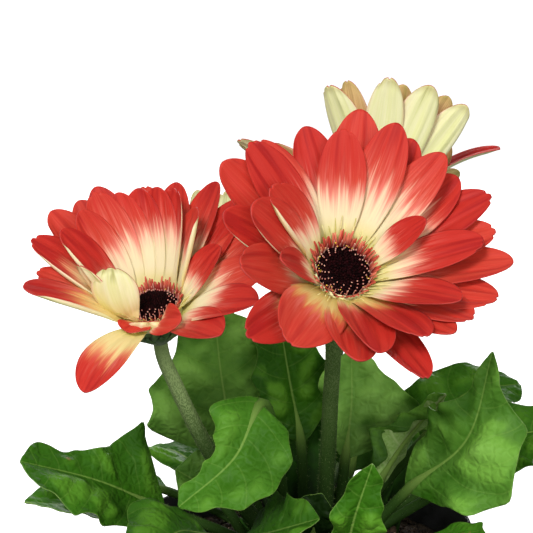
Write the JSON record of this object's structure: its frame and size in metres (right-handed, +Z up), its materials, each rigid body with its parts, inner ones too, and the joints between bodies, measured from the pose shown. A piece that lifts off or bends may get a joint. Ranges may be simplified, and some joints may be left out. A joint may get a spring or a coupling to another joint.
{
  "type": "potted gerbera",
  "caption": "Gerbera daisy in a round black nursery pot: red double blooms with cream petal bases and dark discs on bare stalks over a rosette of lobed green leaves.",
  "frame": {"origin": "centre of the pot's underside, where it stands", "axes": "+Z up, +X to the viewer's right, -Y towards the viewer who looks into the front bloom"},
  "size_m": [0.183, 0.1803, 0.2526],
  "materials": {
    "pot": "thin black moulded plastic, satin",
    "soil": "dark crumbly peat potting soil, matte",
    "petal": "soft red petals that fade to cream at the base, matte with a faint sheen",
    "disc": "near black maroon florets, matte",
    "stalk": "pale green, covered in fine down",
    "leaf": "mid green upper face with a satin gloss, grey green downy underside"
  },
  "bodies": {
    "root": {"pot": "pot", "soil": "soil", "bloom_front_petals": "petal", "bloom_front_disc": "disc", "bloom_front_stalk": "stalk", "bloom_left_petals": "petal", "bloom_left_disc": "disc", "bloom_left_stalk": "stalk", "bloom_back_right_petals": "petal", "bloom_back_right_disc": "disc", "bloom_back_right_stalk": "stalk", "bloom_back_left_petals": "petal", "bloom_back_left_disc": "disc", "bloom_back_left_stalk": "stalk", "leaf_01": "leaf", "leaf_02": "leaf", "leaf_03": "leaf", "leaf_04": "leaf", "leaf_05": "leaf", "leaf_06": "leaf", "leaf_07": "leaf", "leaf_08": "leaf", "leaf_09": "leaf", "leaf_10": "leaf", "leaf_11": "leaf", "leaf_12": "leaf", "leaf_13": "leaf", "leaf_14": "leaf", "leaf_15": "leaf", "leaf_16": "leaf", "leaf_17": "leaf", "leaf_18": "leaf", "leaf_19": "leaf", "leaf_20": "leaf", "leaf_21": "leaf", "leaf_22": "leaf", "leaf_23": "leaf", "leaf_24": "leaf"}
  },
  "joints": []
}
